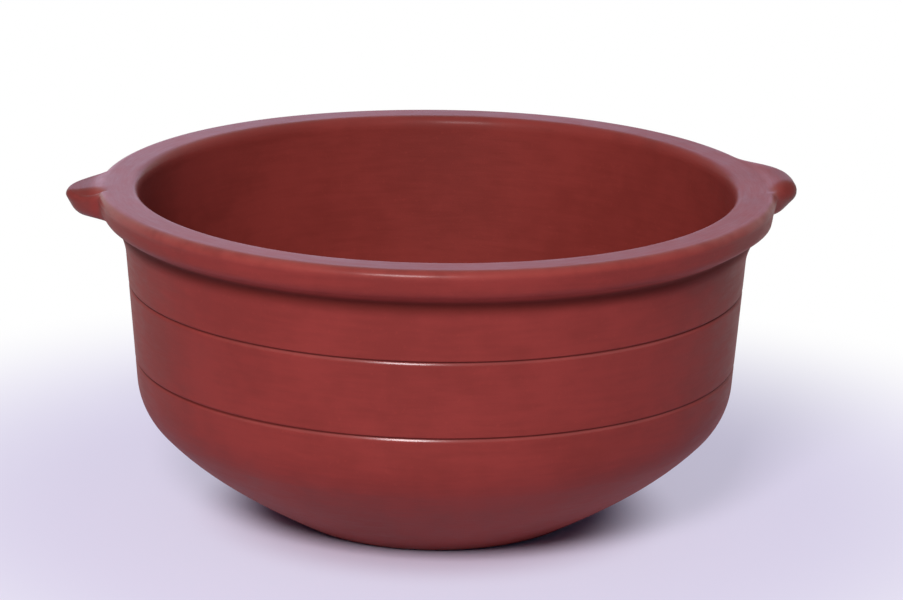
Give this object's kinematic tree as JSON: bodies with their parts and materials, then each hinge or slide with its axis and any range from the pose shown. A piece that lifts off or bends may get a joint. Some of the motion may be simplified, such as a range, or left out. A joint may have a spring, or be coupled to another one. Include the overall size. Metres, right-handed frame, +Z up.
{
  "type": "clay cooking pot",
  "caption": "Low round terracotta cooking pot with a straight side, rounded knuckle, flat floor, broad flat rim and small pinched lugs at either side, for simmering food on a stove.",
  "frame": {"origin": "middle of the flat underside, on the axis that the pot was turned about", "axes": "+Z up along the turning axis, +X towards the right lug, +Y away from the viewer of the picture"},
  "size_m": [0.2702, 0.25, 0.125],
  "materials": {
    "burnished_clay": "red slip over terracotta, burnished to a low satin sheen",
    "floor_clay": "smoothed red terracotta, less burnished than the rest"
  },
  "bodies": {
    "root": {"floor_disc": "floor_clay", "lower_bowl": "burnished_clay", "side_wall": "burnished_clay", "rim_collar": "burnished_clay", "left_lug": "burnished_clay", "right_lug": "burnished_clay", "left_lug_web": "burnished_clay", "right_lug_web": "burnished_clay"}
  },
  "joints": []
}
